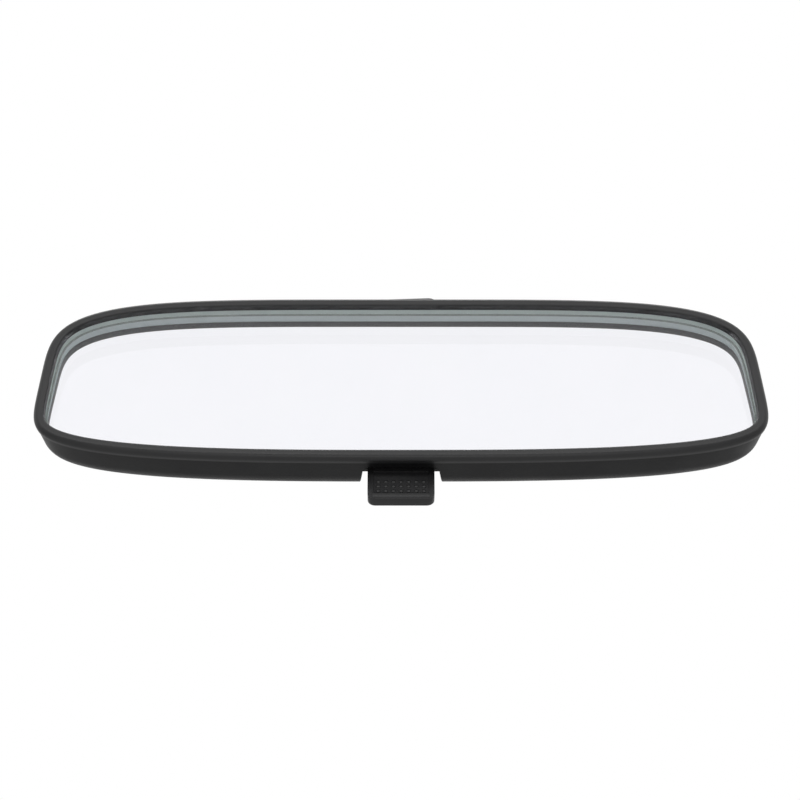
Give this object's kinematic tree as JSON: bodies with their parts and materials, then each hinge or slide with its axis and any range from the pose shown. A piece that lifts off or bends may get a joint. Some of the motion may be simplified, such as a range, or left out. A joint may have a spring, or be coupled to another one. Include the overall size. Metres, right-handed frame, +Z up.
{
  "type": "interior rearview mirror",
  "caption": "Prism glass rearview mirror in a rimmed black case with a day and night lever, on a two-ball arm and a windscreen foot.",
  "frame": {"origin": "centre of the button's flat face, which is bonded to the windscreen", "axes": "+X to the right seen by the driver, +Y forward to the windscreen, +Z up; the glass faces -Y"},
  "size_m": [0.254, 0.1071, 0.1432],
  "materials": {
    "rim_plastic": "fine grained black ABS",
    "case_plastic": "fine grained black ABS",
    "lever_plastic": "fine grained black acetal",
    "prism_glass": "clear float glass, ground edges",
    "silvering": "silvered and painted film",
    "foam": "closed cell foam",
    "pin_steel": "drawn steel",
    "spring_steel": "oiled spring steel",
    "screw_steel": "zinc plated",
    "stop_rubber": "moulded rubber",
    "bracket_steel": "zinc plated pressed steel",
    "ball_steel": "ground steel",
    "nylon": "natural nylon",
    "arm_paint": "satin black paint on steel tube",
    "foot_paint": "satin black paint on zinc casting",
    "button_steel": "sintered steel",
    "black_screw": "black oxide"
  },
  "bodies": {
    "mount": {"windscreen_button": "button_steel", "mount_foot": "foot_paint", "set_screw": "black_screw", "foot_ball_stud": "ball_steel"},
    "upper_liner": {"upper_ball_liner": "nylon"},
    "arm": {"arm_tube": "arm_paint", "arm_spring": "spring_steel", "upper_spring_seat": "nylon"},
    "lower_seat": {"lower_spring_seat": "nylon"},
    "lower_liner": {"lower_ball_liner": "nylon"},
    "bracket": {"pivot_bracket": "bracket_steel", "head_ball_stud": "ball_steel", "stud_washer": "screw_steel", "stud_nut": "screw_steel"},
    "case": {"rim_bezel": "rim_plastic", "rear_case": "case_plastic", "prism_glass": "prism_glass", "mirror_backing": "silvering", "foam_pads": "foam", "hinge_pin": "pin_steel", "lever_pin": "pin_steel", "detent_plate": "spring_steel", "detent_screw": "screw_steel", "stop_bumpers": "stop_rubber"},
    "lever": {"toggle_lever": "lever_plastic", "crank_pin": "pin_steel"}
  },
  "joints": [
    {"name": "arm_swing", "type": "hinge", "parent": "mount", "child": "upper_liner", "pos_m": [0, -0.014, -0.02425], "axis": [0, 0.5, 0.866], "range_deg": [-25, 25]},
    {"name": "arm_tilt", "type": "hinge", "parent": "upper_liner", "child": "arm", "pos_m": [0, -0.014, -0.02425], "axis": [1, 0, 0], "range_deg": [-12, 12]},
    {"name": "head_pan", "type": "hinge", "parent": "arm", "child": "lower_seat", "pos_m": [0, -0.04857, -0.06574], "axis": [0, 0.6401, 0.7683], "range_deg": [-25, 25]},
    {"name": "head_tilt", "type": "hinge", "parent": "lower_seat", "child": "lower_liner", "pos_m": [0, -0.04857, -0.06574], "axis": [1, 0, 0], "range_deg": [-12, 12]},
    {"name": "head_roll", "type": "hinge", "parent": "lower_liner", "child": "bracket", "pos_m": [0, -0.04857, -0.06574], "axis": [0, 0.8192, 0.5736], "range_deg": [-12, 12]},
    {"name": "toggle_tip", "type": "hinge", "parent": "bracket", "child": "case", "pos_m": [0, -0.07418, -0.05852], "axis": [1, 0, 0], "range_deg": [0, 5.2]},
    {"name": "lever_turn", "type": "hinge", "parent": "case", "child": "lever", "pos_m": [0, -0.07603, -0.10602], "axis": [1, 0, 0], "range_deg": [0, 32], "deforming": ["detent_plate"]}
  ],
  "couplings": [
    {"joint": "lever_turn", "follows": "toggle_tip", "ratio": 6.1538}
  ]
}
